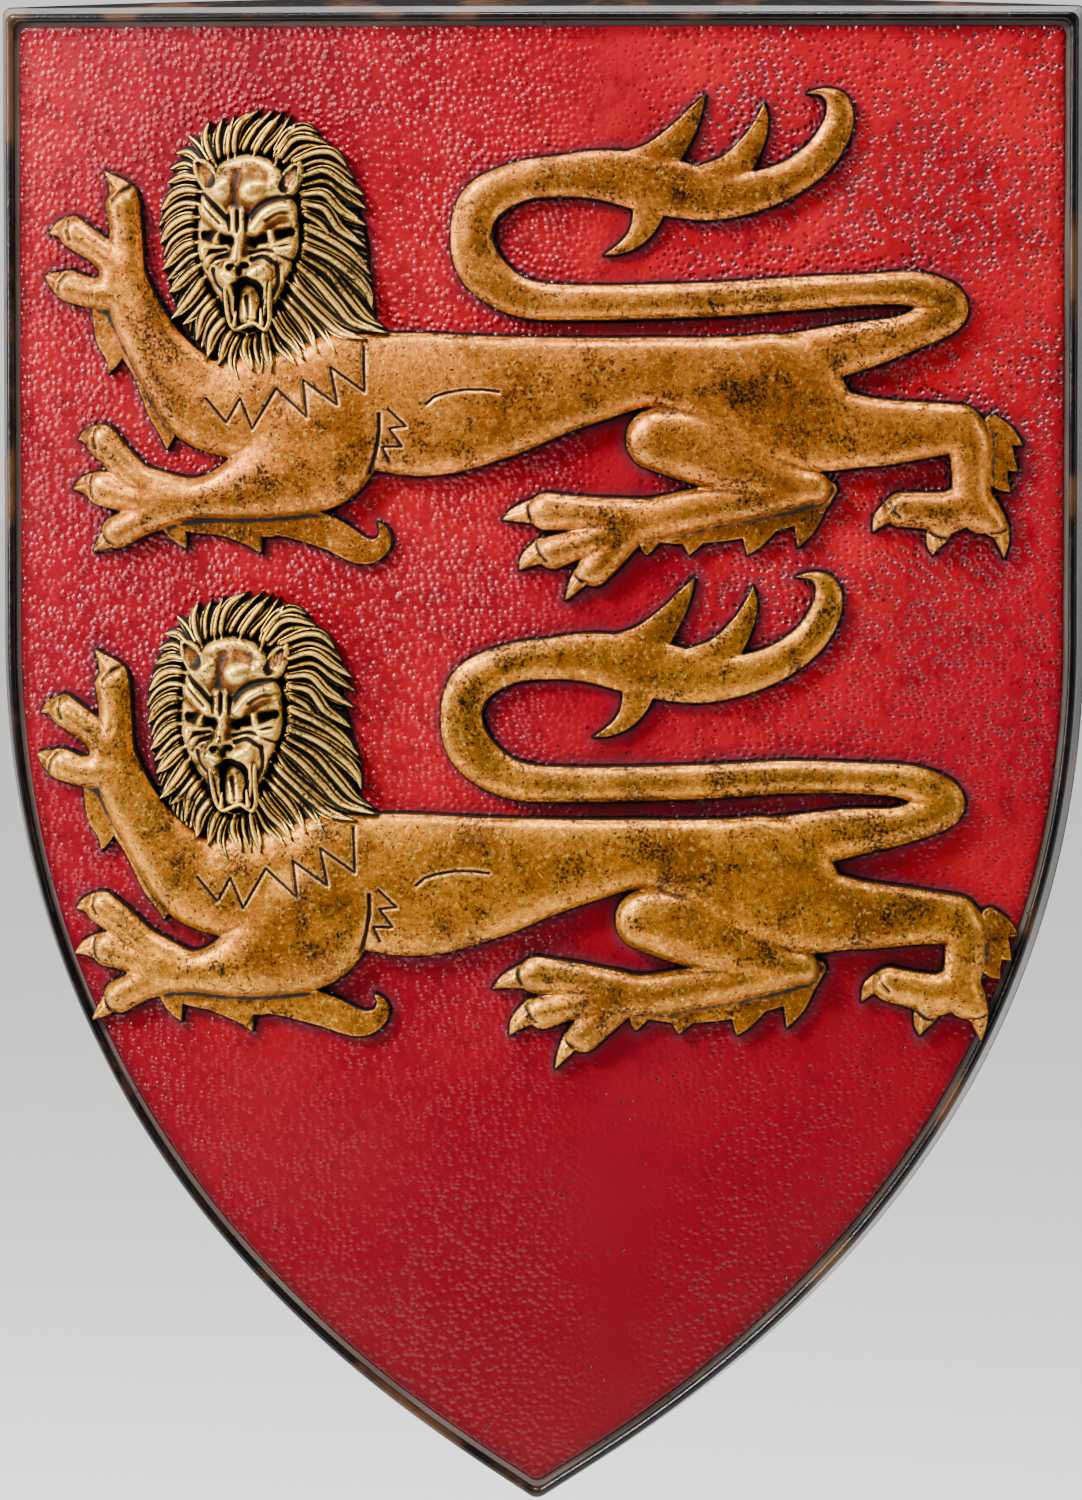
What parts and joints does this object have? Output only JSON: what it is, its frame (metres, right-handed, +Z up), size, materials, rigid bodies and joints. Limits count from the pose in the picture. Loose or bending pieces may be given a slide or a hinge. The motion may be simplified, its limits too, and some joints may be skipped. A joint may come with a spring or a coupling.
{
  "type": "heraldic wall shield",
  "caption": "Heater-shaped cast wall shield with gold walking lions in relief on a curved crimson field inside a narrow dark bead, hollow behind, hung from a keyhole.",
  "frame": {"origin": "on the back of the hanging boss, above its keyhole, in the flat back plane", "axes": "+Z up the shield, +Y out of the back towards the wall, so the lions face -Y; +X to the right as seen from the front"},
  "size_m": [0.3998, 0.0375, 0.5551],
  "materials": {
    "painted_resin": "cast resin, hand painted crimson, antique gold and near black"
  },
  "bodies": {
    "root": {"shield": "painted_resin"}
  },
  "joints": []
}
